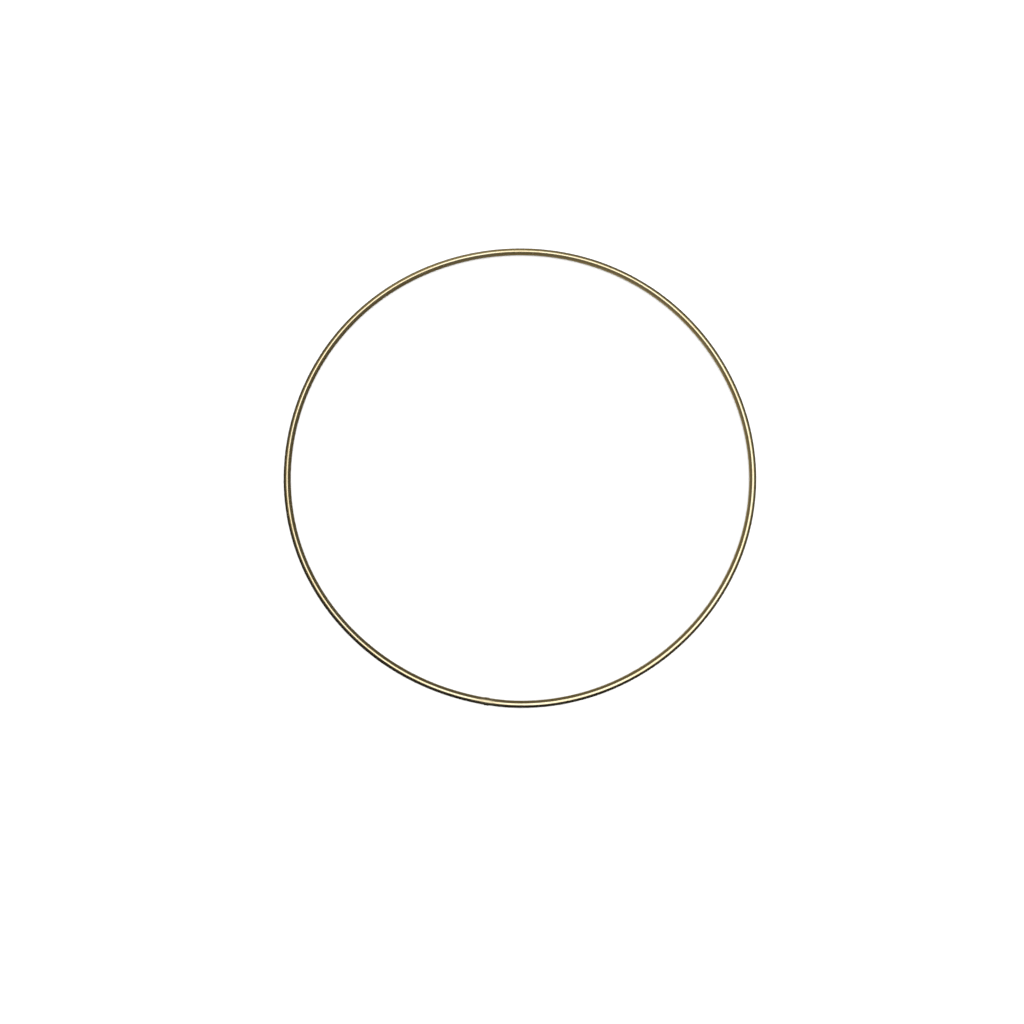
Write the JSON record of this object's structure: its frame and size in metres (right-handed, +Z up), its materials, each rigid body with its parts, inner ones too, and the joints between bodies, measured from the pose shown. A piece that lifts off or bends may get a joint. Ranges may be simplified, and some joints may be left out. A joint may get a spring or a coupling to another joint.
{
  "type": "wreath frame",
  "caption": "Closed round hoop of brass-plated, butt-welded steel wire that a wreath of flowers or greenery is bound on and hung by.",
  "frame": {"origin": "on the surface that the hoop lies on, under the hoop's centre", "axes": "+Z up along the hoop's own axis; the wire's circle lies in the XY plane; the weld is close to -Y, a little towards -X"},
  "size_m": [0.2, 0.2, 0.003],
  "materials": {
    "steel_wire": "drawn mild steel, dull",
    "butt_weld": "fused and dressed weld, heat-darkened",
    "brass_plating": "bright pale brass plate over fine drawing lines"
  },
  "bodies": {
    "root": {"steel_wire": "steel_wire", "butt_weld": "butt_weld", "brass_plating": "brass_plating"}
  },
  "joints": []
}
